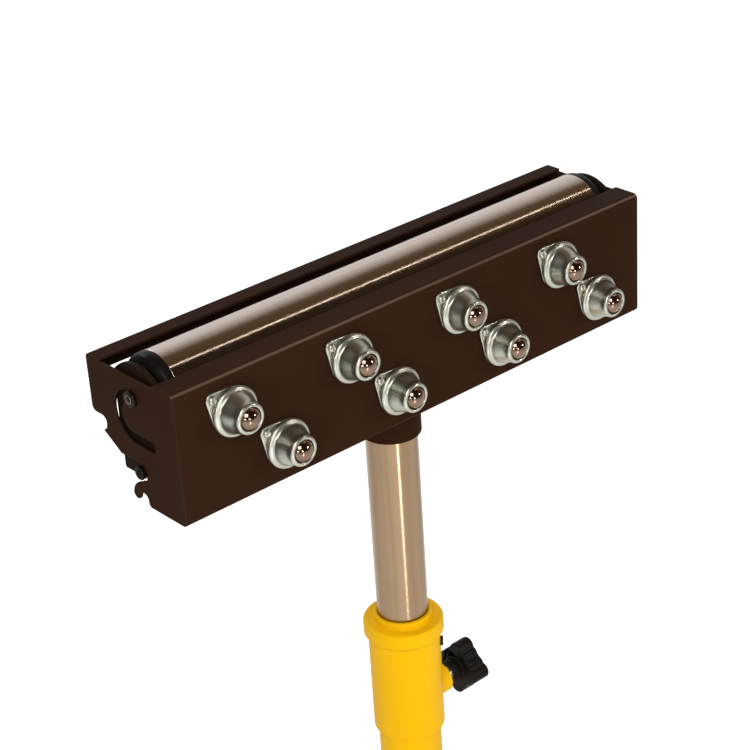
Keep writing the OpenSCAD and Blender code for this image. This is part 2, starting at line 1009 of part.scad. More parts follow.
base_tube();
tube_plug();
clamp_collar();
guide_bush();
collar_screws();
leg_hub();
leg_brackets();
leg_bolts();
leg_nuts();
leg_tube(1);  // leg_tube_1
leg_tube(2);  // leg_tube_2
leg_tube(3);  // leg_tube_3
leg_tube(4);  // leg_tube_4
leg_foot(1);  // leg_foot_1
leg_foot(2);  // leg_foot_2
leg_foot(3);  // leg_foot_3
leg_foot(4);  // leg_foot_4
clamp_pad();
clamp_stud();
clamp_knob();
post_glide();
post_tube();
head_socket();
socket_screw();
cradle();
roller_axle();
axle_spacers();
axle_nuts();
bearing_inner_rings();
stop_bolts();
stop_sleeves();
stop_nuts();
roller_tube();
roller_cap_left();
roller_cap_right();
bearing_outer_rings();
bearing_beads();
slot_bushes();
front_plate();
rear_rail();
left_end_plate();
right_end_plate();
housing_screws();
housing_nuts();
ball_housing(0);  // ball_housing_1
ball_housing(1);  // ball_housing_2
ball_housing(2);  // ball_housing_3
ball_housing(3);  // ball_housing_4
ball_housing(4);  // ball_housing_5
ball_housing(5);  // ball_housing_6
ball_housing(6);  // ball_housing_7
ball_housing(7);  // ball_housing_8
ball(0);  // ball_1
ball(1);  // ball_2
ball(2);  // ball_3
ball(3);  // ball_4
ball(4);  // ball_5
ball(5);  // ball_6
ball(6);  // ball_7
ball(7);  // ball_8
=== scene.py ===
# %% [markdown]
# # A roller stand with a two-way head
# The stand holds up a long board beside a saw. Its head offers a steel roller, or a plate of
# eight ball transfers once it is flipped. The solids come from the CAD model as a fixed frame,
# so this scene adds finishes, rounded edges and small hardware, then lights the stand and looks
# at it.
# %% Load the frame
import json
import math

import bmesh
import bpy
from mathutils import Euler, Matrix, Vector


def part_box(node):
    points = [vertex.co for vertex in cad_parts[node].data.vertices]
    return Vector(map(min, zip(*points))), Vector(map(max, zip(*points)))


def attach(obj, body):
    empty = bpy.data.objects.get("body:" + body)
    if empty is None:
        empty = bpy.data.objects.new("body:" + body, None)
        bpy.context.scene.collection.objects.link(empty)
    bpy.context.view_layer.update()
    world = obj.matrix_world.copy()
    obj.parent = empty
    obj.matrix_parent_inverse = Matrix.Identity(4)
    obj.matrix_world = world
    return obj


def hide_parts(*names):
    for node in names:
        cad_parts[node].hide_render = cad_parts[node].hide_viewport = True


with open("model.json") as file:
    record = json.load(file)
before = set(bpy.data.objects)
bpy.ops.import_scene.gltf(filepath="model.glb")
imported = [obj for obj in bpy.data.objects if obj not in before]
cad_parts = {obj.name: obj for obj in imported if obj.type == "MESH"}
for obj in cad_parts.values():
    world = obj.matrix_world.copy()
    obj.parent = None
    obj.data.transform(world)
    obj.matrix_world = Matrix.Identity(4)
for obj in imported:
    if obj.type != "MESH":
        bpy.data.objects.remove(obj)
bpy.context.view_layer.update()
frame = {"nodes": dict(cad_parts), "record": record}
MM = 0.001

# %% [markdown]
# ## The camera
# The photograph looks down on the head from the left of the ball plate through a long lens. The
# numbers were solved from the straight edges of the head, so the view lines up with the
# photograph. A camera is turned by three angles in degrees, which is easier to read than a
# matrix.
# %% Camera
camera_data = bpy.data.cameras.new("studio_camera")
camera_data.lens = 98.88
camera_data.sensor_width = 36
camera_data.clip_end = 50
camera = bpy.data.objects.new("studio_camera", camera_data)
camera.location = (-0.7878, -0.92675, 1.36674)
camera.rotation_euler = Euler([math.radians(a) for a in (62.883, 3.4485, -41.741)])
bpy.context.scene.collection.objects.link(camera)
bpy.context.scene.camera = camera
bpy.context.scene.view_settings.view_transform = "Standard"
print("camera height:", camera.location.z)

# %% [markdown]
# ## Sums on sockets
# A finish is a chain of nodes. Written out node by node it hides what it does, so a small class
# wraps a socket and lets Python's own operators add the Math nodes. One more method makes any
# other node from its settings and its inputs.
# %% A socket that can be used in a sum
def set_ramp(colour_ramp, stops):
    """Gives a colour ramp its stops: pairs of a place and a grey or a colour."""
    while len(colour_ramp.elements) < len(stops):
        colour_ramp.elements.new(1)
    for element, (place, value) in zip(colour_ramp.elements, stops):
        colour = (value, value, value) if isinstance(value, (int, float)) else value
        element.position = place
        element.color = (*colour, 1)


class Strand:
    """One output socket of a finish, with sums and products written as Python does."""

    def __init__(self, tree, socket):
        self.tree = tree
        self.socket = socket

    def node(self, kind, settings=None, sockets=None, out=0):
        """Adds a node: its settings come first, then the values or strands of its inputs."""
        made = self.tree.nodes.new(kind)
        for name, value in (settings or {}).items():
            if name == "stops":
                set_ramp(made.color_ramp, value)
            else:
                setattr(made, name, value)
        for name, value in (sockets or {}).items():
            if isinstance(value, Strand):
                self.tree.links.new(value.socket, made.inputs[name])
            else:
                made.inputs[name].default_value = value
        return Strand(self.tree, made.outputs[out])

    def maths(self, operation, first, second):
        return self.node("ShaderNodeMath", {"operation": operation}, {0: first, 1: second})

    def __add__(self, other):
        return self.maths("ADD", self, other)

    def __radd__(self, other):
        return self.maths("ADD", other, self)

    def __sub__(self, other):
        return self.maths("SUBTRACT", self, other)

    def __rsub__(self, other):
        return self.maths("SUBTRACT", other, self)

    def __mul__(self, other):
        return self.maths("MULTIPLY", self, other)

    def __rmul__(self, other):
        return self.maths("MULTIPLY", other, self)


print("a strand can:", [name for name, way in vars(Strand).items() if callable(way)])

# %% [markdown]
# ## Patterns that the finishes share
# Real surfaces are never one flat colour. Paint has a fine orange-peel skin, drawn steel has
# lines along the way it was pulled, and edges are rubbed bright. Each of these is a small
# function of the object's own coordinates in metres, so a pattern stays put when a part moves.
# %% Patterns
def new_finish(name, metallic=0.0, **constants):
    """Makes a material and returns it with its shader and a strand of object coordinates."""
    material = bpy.data.materials.new(name)
    material.use_nodes = True
    tree = material.node_tree
    shader = tree.nodes["Principled BSDF"]
    shader.inputs["Metallic"].default_value = metallic
    for socket, value in constants.items():
        shader.inputs[socket.replace("_", " ").title().replace("Ior", "IOR")].default_value = value
    place = Strand(tree, tree.nodes.new("ShaderNodeTexCoord").outputs["Object"])
    return material, shader, place


def feed(shader, name, strand):
    strand.tree.links.new(strand.socket, shader.inputs[name])


def specks(place, per_metre, detail=2.0, roughness=0.5, stretch=(1, 1, 1)):
    """Noise of a size given as patches per metre, drawn out along an axis by a small stretch."""
    spread = place.node("ShaderNodeMapping", None, {"Vector": place, "Scale": stretch})
    return place.node("ShaderNodeTexNoise", None, {
        "Vector": spread, "Scale": per_metre, "Detail": detail, "Roughness": roughness})


def rounded(place, radius):
    """The surface's direction with its sharp edges rounded off."""
    return place.node("ShaderNodeBevel", {"samples": 6}, {"Radius": radius})


def rubbed(place, radius):
    """1 on sharp edges and 0 on flats: where the rounded direction leaves the true one."""
    reach = 5
    flat = place.node("ShaderNodeNewGeometry", out=1)
    likeness = place.node("ShaderNodeVectorMath", {"operation": "DOT_PRODUCT"},
                          {0: rounded(place, radius), 1: flat}, out=1)
    return place.node("ShaderNodeClamp", None, {"Value": (1 - likeness) * reach})


def between(place, factor, low, high):
    """A colour that runs from low to high as the factor goes from 0 to 1."""
    return place.node("ShaderNodeMix", {"data_type": "RGBA"},
                      {"Factor": factor, 6: (*low, 1), 7: (*high, 1)}, out=2)


def blended(place, factor, first, second):
    """Like between, with strands for both colours."""
    return place.node("ShaderNodeMix", {"data_type": "RGBA"},
                      {"Factor": factor, 6: first, 7: second}, out=2)


def ramp(place, factor, *stops):
    return place.node("ShaderNodeValToRGB", {"stops": stops}, {"Fac": factor})


def relief(place, height, depth, normal):
    """A bump of that depth in metres, on top of a given direction."""
    return place.node("ShaderNodeBump", None,
                      {"Height": height, "Distance": depth, "Strength": 1, "Normal": normal})


def ringed(place, normal, axis, fan):
    """A direction that grinding rings, too fine to be seen singly, fan out along an axis."""
    rings_per_metre = 16000
    rings = specks(place, rings_per_metre, 0, 0.5, [1 if along else 0.002 for along in axis])
    tilt = place.node("ShaderNodeVectorMath", {"operation": "SCALE"},
                      {0: axis, "Scale": (rings - 0.5) * fan})
    tilted = place.node("ShaderNodeVectorMath", {"operation": "ADD"}, {0: normal, 1: tilt})
    return place.node("ShaderNodeVectorMath", {"operation": "NORMALIZE"}, {0: tilted})


print("patterns ready")

# %% [markdown]
# ## Stove enamel
# The head is dark brown enamel and the base is yellow. Both are sprayed, so they share one
# recipe: a slow drift of tone, a fine skin of orange peel, a gloss that varies, and edges where
# the coat is thin and the tone lifts. A pale line along the front plate's upper fold is a
# painted highlight in the same paler colour. The cradle inside the head reads darker in the
# photograph, so it is drawn a darker brown of its own.
# %% Enamel finishes
# Painted highlight: a pale line along the front plate's upper fold stands for light on the bend.
def fold_highlight(place, wide):
    """1 along the front plate's upper fold, fading out over a width: a painted highlight."""
    (_, face, _), (_, _, top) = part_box("front_plate")
    crown = (0, face + MM, top - MM)
    across = place.node("ShaderNodeVectorMath", {"operation": "MULTIPLY"},
                        {0: place, 1: (0, 1, 1)})
    away = place.node("ShaderNodeVectorMath", {"operation": "DISTANCE"},
                      {0: across, 1: crown}, out=1)
    return place.node("ShaderNodeClamp", None, {"Value": 1 - away * (1 / wide)})


def enamel(name, colour, wear_and_highlight_colour, **constants):
    """A sprayed coat, paler on rubbed edges and as a painted highlight on the plate's top fold."""
    material, shader, place = new_finish(name, **constants)
    darker, lighter, gloss, peel = 0.86, 1.1, 0.36, 0.00003
    drift = specks(place, 9, 3)
    deep = tuple(darker * c for c in colour)
    pale = tuple(min(1, lighter * c) for c in colour)
    tone = between(place, drift, deep, pale)
    wear_and_fold_highlight = rubbed(place, 0.0008) * specks(place, 260, 4, 0.65)
    # The fold line is a painted highlight; the speckled edge marks above it are wear.
    fold = fold_highlight(place, 1.3 * MM) * ramp(place, specks(place, 7, 2), (0.3, 0.35), (0.7, 1))
    wear_and_fold_highlight = place.maths("MAXIMUM", wear_and_fold_highlight, fold)
    # One paler colour serves both the worn edges and the painted fold highlight.
    wear_and_highlight_tone = place.node("ShaderNodeRGB")
    wear_and_highlight_tone.socket.default_value = (*wear_and_highlight_colour, 1)
    feed(shader, "Base Color", blended(place, wear_and_fold_highlight, tone, wear_and_highlight_tone))
    feed(shader, "Roughness", gloss + specks(place, 40, 4) * 0.14 + wear_and_fold_highlight * 0.1)
    skin = specks(place, 1700, 2, 0.4)
    feed(shader, "Normal", relief(place, skin, peel, rounded(place, 0.0007)))
    return material


brown_sheen = {"specular_ior_level": 0.012, "specular_tint": (1, 0.7, 0.45, 1)}
# Each enamel's paler second colour shows on worn edges and as the painted fold highlight.
finishes = {
    "head_enamel": enamel("head_enamel", (0.029, 0.0124, 0.0062), (0.13, 0.09, 0.065),
                          **brown_sheen),
    "cradle_enamel": enamel("cradle_enamel", (0.017, 0.009, 0.0058), (0.1, 0.075, 0.06),
                            **brown_sheen),
    "yellow_enamel": enamel("yellow_enamel", (0.82, 0.455, 0.002), (0.9, 0.62, 0.03),
                            specular_ior_level=0.12, specular_tint=(1, 0.8, 0.3, 1)),
}
print("enamels:", list(finishes))

# %% [markdown]
# ## Steels
# Each steel piece was made another way, and that shows in its lines. The roller and the post
# were ground as they turned, so fine rings run round them. The transfer housings were pressed
# and zinc plated, which leaves a soft mottle. The balls are polished and hold sharp highlights.
# %% Steel finishes
def steel(name, colour, shade, gloss, lines=(1, 1, 1), line_depth=0.000004):
    """Bare or plated steel. lines gives how far its marks are drawn out along X, Y and Z."""
    material, shader, place = new_finish(name, metallic=1.0)
    mottle = specks(place, 55, 5, 0.6)
    feed(shader, "Base Color", between(place, mottle, shade, colour))
    marks = specks(place, 900, 3, 0.6, lines)
    feed(shader, "Roughness", gloss + marks * 0.12 + mottle * 0.06)
    feed(shader, "Normal", relief(place, marks, line_depth, rounded(place, 0.0004)))
    return material


def ground_steel(name, colour, shade, gloss, axis, fan):
    """Drawn tube, ground as it turned about an axis: long streaks, under rings too fine to see."""
    material, shader, place = new_finish(name, metallic=1.0)
    streaks = specks(place, 130, 3, 0.55, [0.015 if along else 1 for along in axis])
    streaks = ramp(place, streaks, (0.36, 0), (0.64, 1))
    mottle = specks(place, 45, 5, 0.6)
    feed(shader, "Base Color", between(place, streaks * 0.7 + mottle * 0.3, shade, colour))
    feed(shader, "Roughness", gloss + mottle * 0.08)
    feed(shader, "Normal", ringed(place, rounded(place, 0.0005), axis, fan))
    return material


steels = {
    "roller_steel": ground_steel("roller_steel", (0.56, 0.47, 0.41), (0.46, 0.38, 0.32), 0.09,
                                 (1, 0, 0), 0.15),
    "post_steel": ground_steel("post_steel", (0.43, 0.31, 0.195), (0.31, 0.195, 0.115), 0.12,
                               (0, 0, 1), 0.3),
    "zinc_housings": steel("zinc_housings", (0.66, 0.66, 0.58), (0.42, 0.44, 0.37), 0.22),
    "zinc_fasteners": steel("zinc_fasteners", (0.6, 0.6, 0.54), (0.44, 0.45, 0.4), 0.2),
    "axle_steel": steel("axle_steel", (0.3, 0.28, 0.25), (0.2, 0.19, 0.17), 0.28,
                        (1, 0.02, 0.02)),
    "bearing_steel": steel("bearing_steel", (0.55, 0.54, 0.5), (0.42, 0.41, 0.38), 0.14),
    "ball_chrome": steel("ball_chrome", (0.30, 0.205, 0.155), (0.25, 0.17, 0.125), 0.05,
                         line_depth=0.0000005),
    "dark_fasteners": steel("dark_fasteners", (0.04, 0.026, 0.018), (0.02, 0.013, 0.009), 0.36),
    "pad_brass": steel("pad_brass", (0.6, 0.42, 0.14), (0.46, 0.31, 0.1), 0.28, (0.02, 1, 1)),
}
finishes |= steels
print("steels:", len(steels))

# %% [markdown]
# ## Plastics and rubber
# Moulded parts take their grain from the mould. It is fine on the caps and the knob, smoother on
# the white bushes, and coarse and dusty on the rubber feet.
# %% Moulded finishes
def moulded(name, colour, bloom, gloss, grain, grain_size, specular=0.3):
    """Plastic or rubber: dust and scuffs lift its colour to the bloom, and its grain is fine."""
    material, shader, place = new_finish(name, specular_ior_level=specular)
    dust = specks(place, 30, 5, 0.65)
    scuffed = rubbed(place, 0.0005) * 0.8
    dull = place.maths("MAXIMUM", ramp(place, dust, (0.35, 0), (0.8, 0.3)), scuffed)
    feed(shader, "Base Color", between(place, dull, colour, bloom))
    feed(shader, "Roughness", gloss + dust * 0.16)
    skin = specks(place, grain_size, 2, 0.5)
    feed(shader, "Normal", relief(place, skin, grain, rounded(place, 0.0006)))
    return material


finishes |= {
    "black_plastic": moulded("black_plastic", (0.0045, 0.0036, 0.003), (0.05, 0.044, 0.04),
                             0.3, 0.00002, 2600, 0.07),
    "foot_rubber": moulded("foot_rubber", (0.013, 0.013, 0.012), (0.09, 0.086, 0.08), 0.62,
                           0.00006, 1400, 0.2),
    "white_nylon": moulded("white_nylon", (0.72, 0.69, 0.6), (0.8, 0.77, 0.7), 0.36, 0.00001,
                           1900),
}
print("finishes:", sorted(finishes))

# %% [markdown]
# ## The finishes on the CAD solids
# A CAD node names its finish in the record, so one loop dresses them all. The mesh isn't
# touched: only the material slot changes.
# %% Dress the solids
slot_of = {part["node"]: part["material_slot"] for part in frame["record"]["subparts"]}
for node_name, solid in frame["nodes"].items():
    solid.data.materials.clear()
    solid.data.materials.append(finishes[slot_of[node_name]])
print("dressed:", len(slot_of))

# %% [markdown]
# ## Cutting
# Some shapes are made the way a workshop makes them, by cutting one form with another. A Boolean
# modifier does the cut and is applied at once, so what comes back is a plain mesh.
# %% Cuts and blocks
def carved(mesh, *cuts):
    """A bmesh after Boolean cuts: pairs of an operation and the bmesh that does it."""
    data = bpy.data.meshes.new("blank")
    mesh.to_mesh(data)
    blank = bpy.data.objects.new("blank", data)
    bpy.context.scene.collection.objects.link(blank)
    tools = []
    for operation, tool_mesh in cuts:
        tool_data = bpy.data.meshes.new("tool")
        tool_mesh.to_mesh(tool_data)
        tool = bpy.data.objects.new("tool", tool_data)
        bpy.context.scene.collection.objects.link(tool)
        cut = blank.modifiers.new("cut", "BOOLEAN")
        cut.operation, cut.object, cut.solver = operation, tool, "EXACT"
        tools.append(tool)
    bpy.context.view_layer.update()
    result = bmesh.new()
    result.from_object(blank, bpy.context.evaluated_depsgraph_get())
    for spare in [blank] + tools:
        bpy.data.objects.remove(spare)
    return result


def bar(x, y, z, centre):
    """A block of a size and centre in millimetres."""
    mesh = bmesh.new()
    size = Matrix.Diagonal((x * MM, y * MM, z * MM, 1))
    bmesh.ops.create_cube(mesh, size=1, matrix=Matrix.Translation(Vector(centre) * MM) @ size)
    return mesh


print("cutting ready")

# %% [markdown]
# ## Rounded edges
# Folded and sawn steel has no knife edges, and it is the thin light along a rounded edge that
# tells the eye it is metal. A CAD solid arrives as loose triangles, so a copy is joined up, its
# flats are made whole, and a Bevel modifier rounds what is left of its sharp edges. Weighted
# normals then keep each flat face flat up to its rounded border. The copy stands for the solid.
# The widths are in millimetres, and the cradle then gets a darker brown of its own.
# %% Rounding a solid
WELD, SAME_FLAT, SHARP_TURN = 0.002 * MM, math.radians(0.4), math.radians(32)
body_of = {node: body for body, nodes in frame["record"]["behaviour"]["bodies"].items()
           for node in nodes}


def piece_from(mesh, name, slot_name, body_name, *stands_for):
    """Makes an object of a bmesh, gives it its finish and lets it ride on a body."""
    data = bpy.data.meshes.new(name)
    mesh.to_mesh(data)
    mesh.free()
    data.shade_smooth()
    data.materials.append(finishes[slot_name])
    made = bpy.data.objects.new(name, data)
    bpy.context.scene.collection.objects.link(made)
    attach(made, body_name)
    if stands_for:
        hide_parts(*stands_for)
    return made


def round_edges(made, width):
    """Rounds the edges of a piece where its faces turn sharply."""
    soft = made.modifiers.new("rounded_edges", "BEVEL")
    soft.width = width * MM
    soft.segments = 3
    soft.limit_method = "ANGLE"
    soft.angle_limit = SHARP_TURN
    soft.use_clamp_overlap = False
    flats = made.modifiers.new("flat_faces", "WEIGHTED_NORMAL")
    flats.weight = 100


def softened(node_name, width, cut=None):
    """A rounded copy of a CAD solid, less the block that trims it, if there is one."""
    mesh = bmesh.new()
    mesh.from_mesh(frame["nodes"][node_name].data)
    bmesh.ops.remove_doubles(mesh, verts=mesh.verts, dist=WELD)
    if cut:
        bmesh.ops.recalc_face_normals(mesh, faces=mesh.faces)
        mesh = carved(mesh, ("DIFFERENCE", cut))
    bmesh.ops.dissolve_limit(mesh, angle_limit=SAME_FLAT, verts=mesh.verts, edges=mesh.edges)
    made = piece_from(mesh, "soft_" + node_name, slot_of[node_name], body_of[node_name],
                      node_name)
    round_edges(made, width)
    return made


edge_widths = {
    "front_plate": 0.35, "left_end_plate": 0.3, "right_end_plate": 0.3,
    "cradle": 0.4, "head_socket": 0.6, "roller_tube": 0.2, "clamp_knob": 1.2,
    "leg_hub": 0.5, "leg_brackets": 0.5, "tube_plug": 0.8,
}
soft_pieces = {node_name: softened(node_name, width) for node_name, width in edge_widths.items()}
# The cradle is drawn a darker brown than the rest of the head.
soft_pieces["cradle"].data.materials[0] = finishes["cradle_enamel"]
print("rounded:", len(soft_pieces))

# %% [markdown]
# ## The rear rail's flange
# In the photograph a sliver of white shows between the roller's left cap and the rail, so the
# flange that hangs from the rail ends a little higher than the solid's. Only the run between the
# end plates is trimmed.
# %% A shorter flange
RAIL_TRIM, SHEET, PAST = 3.4, 2, 4
(left, front, low_edge), (right, back, _) = (Vector(c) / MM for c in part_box("rear_rail"))
trim = bar(right - left - 2 * SHEET, back - front + PAST, RAIL_TRIM + PAST,
           ((left + right) / 2, (front + back) / 2, low_edge + (RAIL_TRIM - PAST) / 2))
softened("rear_rail", edge_widths["front_plate"], cut=trim)
print("flange trimmed by", RAIL_TRIM, "mm")

# %% [markdown]
# ## Turned shapes
# Housings, screw heads and threads are all round, so one helper spins half their outline about
# an axis. The corners of the outline are rounded first, each by its own amount, because a
# bevel on a few points is far cheaper than one on the finished mesh.
# %% Spinning an outline
def turned(outline, steps):
    """Spins (radius, height, rounding) points in millimetres round Z into a closed shell."""
    mesh = bmesh.new()
    corners = [mesh.verts.new((r * MM, 0, h * MM)) for r, h, _ in outline]
    for pair in zip(corners, corners[1:]):
        mesh.edges.new(pair)
    for corner, (_, _, rounding) in zip(corners, outline):
        if rounding:
            bmesh.ops.bevel(mesh, geom=[corner], offset=rounding * MM, segments=5,
                            profile=0.5, affect="VERTICES", material=-1)
    bmesh.ops.spin(mesh, geom=mesh.verts[:] + mesh.edges[:], cent=(0, 0, 0), axis=(0, 0, 1),
                   angle=2 * math.pi, steps=steps, use_merge=True)
    bmesh.ops.remove_doubles(mesh, verts=mesh.verts, dist=0.001 * MM)
    bmesh.ops.recalc_face_normals(mesh, faces=mesh.faces)
    return mesh


def stamp(mesh, target, matrix):
    """Adds a copy of a bmesh, moved by a matrix, to another."""
    data = bpy.data.meshes.new("stamp")
    mesh.to_mesh(data)
    data.transform(matrix)
    target.from_mesh(data)
    bpy.data.meshes.remove(data)


def at_ball(i):
    """The place of ball transfer i: its own Z points out of the ball plate."""
    low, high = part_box("ball_%d" % (i + 1))
    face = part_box("front_plate")[0][1]
    place = Matrix.Translation(((low[0] + high[0]) / 2, face, (low[2] + high[2]) / 2))
    return place @ Matrix.Rotation(math.radians(90), 4, "X")


print("first ball transfer at", [round(v, 4) for v in at_ball(0).translation])

# %% [markdown]
# ## Ball transfer housings
# A ball transfer is a pressed cup on an oval flange. The flange has a thick rolled rim, the cup
# leaves it in a small hollow and tapers to a short straight nose, and the mouth is turned in over
# the ball to keep it. One outline holds all of that, and the lugs are the hull of two small discs
# and the flange.
# %% Housings
HOUSING = (
    (0, 0, 0), (14.5, 0, 0.3), (14.5, 2.3, 0.2), (16.4, 2.3, 1.3), (16.4, 5.3, 1.6),
    (13.7, 5.6, 1.2), (12.9, 8.4, 1.6), (10.3, 15.1, 1.6), (10.1, 19, 1.5), (7.6, 19, 0.8),
    (7.5, 17.6, 0.3), (8.4, 14.2, 0.6), (8.4, 10.6, 0.6), (0, 4.5, 0),
)
LUG_TURN = math.radians(140)
PLATE_R, LUG_OUT, LUG_R, LUG_T, LUG_EDGE = 15.8, 19, 4.5, 2, 0.6


def lug_flange():
    """The oval flange: a hull round the cup's foot and two lugs, with a rounded upper edge."""
    mesh = bmesh.new()
    for out, radius in ((0, PLATE_R), (LUG_OUT, LUG_R), (-LUG_OUT, LUG_R)):
        place = Matrix.Translation((out * MM, 0, LUG_T / 2 * MM))
        bmesh.ops.create_cone(mesh, segments=48, radius1=radius * MM, radius2=radius * MM,
                              depth=LUG_T * MM, matrix=place)
    hull = bmesh.ops.convex_hull(mesh, input=mesh.verts)
    spare = [g for g in hull["geom_interior"] + hull["geom_unused"] if g.is_valid]
    bmesh.ops.delete(mesh, geom=spare, context="VERTS")
    bmesh.ops.dissolve_limit(mesh, angle_limit=math.radians(1), verts=mesh.verts,
                             edges=mesh.edges)
    top = [e for e in mesh.edges if all(v.co.z > LUG_T / 2 * MM for v in e.verts)]
    bmesh.ops.bevel(mesh, geom=top, offset=LUG_EDGE * MM, segments=3, profile=0.5,
                    affect="EDGES", material=-1)
    bmesh.ops.rotate(mesh, verts=mesh.verts, cent=(0, 0, 0),
                     matrix=Matrix.Rotation(LUG_TURN, 3, "Z"))
    return mesh


BALLS = 8
cup = turned(HOUSING, 72)
flange = lug_flange()
for i in range(BALLS):
    body = bmesh.new()
    stamp(flange, body, at_ball(i))
    stamp(cup, body, at_ball(i))
    piece_from(body, "transfer_housing_%d" % (i + 1), "zinc_housings", "shell",
               "ball_housing_%d" % (i + 1))
print("housing faces:", len(cup.faces) + len(flange.faces))

# %% [markdown]
# ## The balls
# A polished ball shows every facet in its highlights, so each one is a fine sphere on its own
# body, ready to spin.
# %% Balls
BALL_R = (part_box("ball_1")[1][0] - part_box("ball_1")[0][0]) / 2
for i in range(BALLS):
    low, high = (Vector(corner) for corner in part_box("ball_%d" % (i + 1)))
    ball = bmesh.new()
    bmesh.ops.create_uvsphere(ball, u_segments=48, v_segments=32, radius=BALL_R,
                              matrix=Matrix.Translation((low + high) / 2))
    piece_from(ball, "transfer_ball_%d" % (i + 1), "ball_chrome", "ball_body_%d" % (i + 1),
               "ball_%d" % (i + 1))
print("ball radius in mm:", round(BALL_R / MM, 2))

# %% [markdown]
# ## Lug screws
# Small pan-head screws hold the housings. The cross is cut once, and the finished head is then
# stamped sixteen times, turned a little further each time. Its shank reaches up into the head.
# %% Screws with a cross
PAN_R, PAN_EDGE, PAN_ROUND, PAN_HIGH, SHANK_R, SHANK_LONG = 2.9, 1.7, 1.2, 1.9, 1.9, 5.2
CROSS_LONG, CROSS_WIDE, CROSS_TALL, CROSS_AT = 3.1, 0.65, 1.5, (0, 0, 2)
NEXT_TURN, SUNK = 1.3, 0.1
pan_head = turned(((0, 0, 0), (PAN_R, 0, 0), (PAN_R, PAN_EDGE, PAN_ROUND), (0, PAN_HIGH, 0)),
                  32)
cross_head = carved(
    pan_head, ("DIFFERENCE", bar(CROSS_LONG, CROSS_WIDE, CROSS_TALL, CROSS_AT)),
    ("DIFFERENCE", bar(CROSS_WIDE, CROSS_LONG, CROSS_TALL, CROSS_AT)))
shank = turned(((0, -SHANK_LONG, 0), (SHANK_R, -SHANK_LONG, 0.4), (SHANK_R, SUNK, 0),
                (0, SUNK, 0)), 24)
screws = bmesh.new()
for i in range(BALLS):
    lugs = at_ball(i) @ Matrix.Rotation(LUG_TURN, 4, "Z")
    for side in (1, -1):
        seat = Matrix.Translation((side * LUG_OUT * MM, 0, LUG_T * MM))
        turn = Matrix.Rotation(i * NEXT_TURN + side, 4, "Z")
        stamp(cross_head, screws, lugs @ seat @ turn)
        stamp(shank, screws, lugs @ seat @ turn)
piece_from(screws, "lug_screws", "zinc_fasteners", "shell", "housing_screws")
print("screws stamped:", 2 * BALLS)

# %% [markdown]
# ## Nuts and threads
# The nuts at the axle and at the stop bolts are what the eye meets on the end plates. A real nut
# is a hexagon whose corners are turned off in a lathe, so it is made the same way: a six-sided
# prism, cut by a chamfered disc, with a countersunk hole. The bolt's end has a chamfered tip
# and grooves for its thread.
# %% Nuts on the end plates
def hex_nut(across, height, hole):
    """A chamfered hexagon nut from Z = 0, in millimetres."""
    radius = across / 2 / math.cos(math.radians(30))
    flat_share, clear = 0.97, 0.2
    sink, lip, past, over = 0.9, 0.5, 0.6, 1
    prism = bmesh.new()
    bmesh.ops.create_cone(prism, segments=6, radius1=radius * MM, radius2=radius * MM,
                          depth=height * MM, cap_ends=True,
                          matrix=Matrix.Translation((0, 0, height / 2 * MM)))
    inner, outer = across / 2 * flat_share, radius + clear
    drop = (outer - inner) / 2
    lens = turned(((0, 0, 0), (inner, 0, 0), (outer, drop, 0), (outer, height - drop, 0),
                   (inner, height, 0), (0, height, 0)), 48)
    core = turned(((0, -over, 0), (hole + sink, -past, 0), (hole, lip, 0),
                   (hole, height - lip, 0), (hole + sink, height + past, 0),
                   (0, height + over, 0)), 32)
    return carved(prism, ("INTERSECT", lens), ("DIFFERENCE", core))


def threaded(radius, low, high):
    """A threaded rod's end from low to high along Z, in millimetres."""
    pitch, tip, root, crest = 0.9, 0.6, 0.88, 0.15
    outline = [(0, low, 0), (radius, low, 0)]
    for groove in range(int((high - tip - low) / pitch)):
        foot = low + groove * pitch
        outline += [(radius, foot + crest * pitch, 0), (radius * root, foot + pitch / 2, 0),
                    (radius, foot + (1 - crest) * pitch, 0)]
    outline += [(radius, high - tip, 0), (radius - tip, high, 0), (0, high, 0)]
    return turned(outline, 32)


def both_ends(mesh, x, y, z, twist=0.0):
    """Copies of a shape at the left and right end plate, with its Z pointing outwards."""
    pair = bmesh.new()
    for side in (-1, 1):
        place = Matrix.Translation((side * x, y, z))
        stamp(mesh, pair, place @ Matrix.Rotation(side * math.pi / 2, 4, "Y")
              @ Matrix.Rotation(twist * side, 4, "Z"))
    return pair


def centre_of(node_name):
    low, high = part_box(node_name)
    return (low[1] + high[1]) / 2, (low[2] + high[2]) / 2


END_PIECES = (
    ("axle_nuts", "roller_axle", 10, 2.4, 3, 0.3),
    ("stop_nuts", "stop_bolts", 8, 1.8, 2.5, 0.9),
)
THREAD_FROM, TIP_OUT = -1, 0.4
for nuts, bolts, across, height, bore, twist in END_PIECES:
    y, z = centre_of(nuts)
    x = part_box(nuts)[1][0] - height * MM
    nut, thread = hex_nut(across, height, bore), threaded(bore, THREAD_FROM, height + TIP_OUT)
    piece_from(both_ends(nut, x, y, z, twist), "chamfered_" + nuts, "dark_fasteners", "post",
               nuts)
    piece_from(both_ends(thread, x, y, z), "thread_of_" + bolts, "dark_fasteners", "post")
    print(nuts, "sit at x =", round(x, 4))

